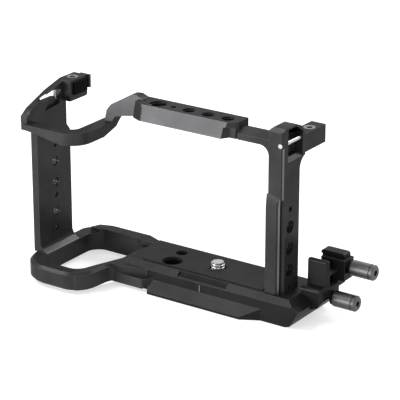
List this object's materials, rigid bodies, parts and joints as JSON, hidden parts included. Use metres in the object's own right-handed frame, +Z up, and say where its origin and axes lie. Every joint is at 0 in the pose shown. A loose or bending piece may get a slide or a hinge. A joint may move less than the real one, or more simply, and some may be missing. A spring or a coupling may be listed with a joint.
{
  "type": "camera cage",
  "caption": "Milled cage for a mirrorless camera: ring frame with grip loops, slotted upper rail, side pillar, dovetail foot, tripod screw and a side cable clamp with thumb knobs.",
  "frame": {"origin": "on the underside of the foot, on the tripod screw's axis", "axes": "+X from the grip side to the clamp side, +Y from the lens side to the back, +Z up"},
  "size_m": [0.1529, 0.0643, 0.0865],
  "materials": {
    "anodised_frame": "hard-anodised, fine bead-blasted satin",
    "clamp_black": "black anodised, satin",
    "rubber_black": "matt",
    "deck_rubber": "matt, fine grain",
    "insert_polymer": "satin",
    "bright_steel": "turned",
    "knob_metal": "turned, bead-blasted",
    "washer_steel": "blackened"
  },
  "bodies": {
    "cage": {"base_plate": "anodised_frame", "base_pad": "deck_rubber", "grip_wall": "anodised_frame", "lower_grip_loop": "anodised_frame", "grip_insert": "insert_polymer", "upper_grip_loop": "anodised_frame", "top_rail": "anodised_frame", "side_pillar": "anodised_frame", "lug_pad": "rubber_black", "ear_pad": "rubber_black", "strap_pin_right": "bright_steel", "strap_pin_left": "bright_steel", "screw_keeper": "bright_steel", "clamp_body": "clamp_black", "mount_washer": "washer_steel", "lock_washer": "washer_steel"},
    "tripod_screw": {"tripod_screw": "bright_steel"},
    "lug_screw_left": {"lug_screw_left": "bright_steel"},
    "lug_screw_right": {"lug_screw_right": "bright_steel"},
    "mount_screw": {"mount_knob": "knob_metal"},
    "jaw": {"clamp_jaw": "clamp_black"},
    "lock_screw": {"lock_knob": "knob_metal"}
  },
  "joints": [
    {"name": "tripod_screw_turn", "type": "hinge", "parent": "cage", "child": "tripod_screw", "pos_m": [0, 0, 0.008], "axis": [0, 0, 1], "continuous": true},
    {"name": "lug_screw_left_turn", "type": "hinge", "parent": "cage", "child": "lug_screw_left", "pos_m": [-0.079, 0, 0.084], "axis": [0, 0, 1], "range_deg": [0, 1080]},
    {"name": "lug_screw_right_turn", "type": "hinge", "parent": "cage", "child": "lug_screw_right", "pos_m": [0.035, 0.0174, 0.077], "axis": [0, 0, 1], "range_deg": [0, 1080]},
    {"name": "mount_screw_turn", "type": "hinge", "parent": "cage", "child": "mount_screw", "pos_m": [0.055, 0.0064, 0.009], "axis": [1, 0, 0], "range_deg": [0, 1440]},
    {"name": "lock_screw_turn", "type": "hinge", "parent": "cage", "child": "lock_screw", "pos_m": [0.057, 0.0157, 0.0207], "axis": [1, 0, 0], "range_deg": [0, 720]},
    {"name": "jaw_slide", "type": "slide", "parent": "cage", "child": "jaw", "axis": [0, 1, 0], "range_m": [0, 0.0025]}
  ]
}
